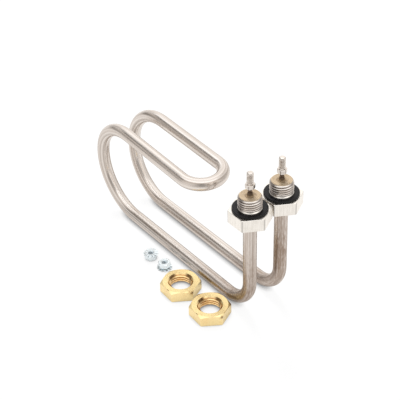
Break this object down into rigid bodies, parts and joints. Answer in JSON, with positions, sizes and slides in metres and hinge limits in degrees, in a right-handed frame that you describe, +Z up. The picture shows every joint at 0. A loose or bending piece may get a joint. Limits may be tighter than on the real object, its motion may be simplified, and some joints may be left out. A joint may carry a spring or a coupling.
{
  "type": "tubular heating element",
  "caption": "Bent tubular heating element with threaded hex fittings and terminal studs on its legs, with its brass jam nuts and toothed lock nuts lying beside it.",
  "frame": {"origin": "midway between the two fittings, on the plane of their sealing faces", "axes": "+Z up along the threads, +X from fitting a to fitting b, +Y along the lower runs to the rear bends"},
  "size_m": [0.0641, 0.1653, 0.1015],
  "materials": {
    "stainless_tube": "drawn stainless tube, warm grey, slightly heat stained",
    "resistance_wire": "dull nickel and chromium resistance wire",
    "magnesia": "packed white mineral powder",
    "nickel_plate": "bright nickel plate",
    "black_gasket": "black sealing rubber with a slight sheen",
    "tan_insulator": "tan ceramic filled insulator",
    "brown_resin": "dark brown sealing resin",
    "pin_steel": "oxidised steel",
    "brass": "bright machined brass",
    "zinc_plate": "bluish zinc plate"
  },
  "bodies": {
    "root": {"sheath_tube": "stainless_tube", "resistance_coil": "resistance_wire", "magnesia_fill": "magnesia", "hex_fitting_a": "nickel_plate", "sealing_gasket_a": "black_gasket", "insulator_bushing_a": "tan_insulator", "pin_seal_a": "brown_resin", "cold_pin_a": "pin_steel", "terminal_stud_a": "nickel_plate", "jam_nut_a": "brass", "lock_nut_a": "zinc_plate", "tooth_washer_a": "zinc_plate", "hex_fitting_b": "nickel_plate", "sealing_gasket_b": "black_gasket", "insulator_bushing_b": "tan_insulator", "pin_seal_b": "brown_resin", "cold_pin_b": "pin_steel", "terminal_stud_b": "nickel_plate", "jam_nut_b": "brass", "lock_nut_b": "zinc_plate", "tooth_washer_b": "zinc_plate"}
  },
  "joints": []
}
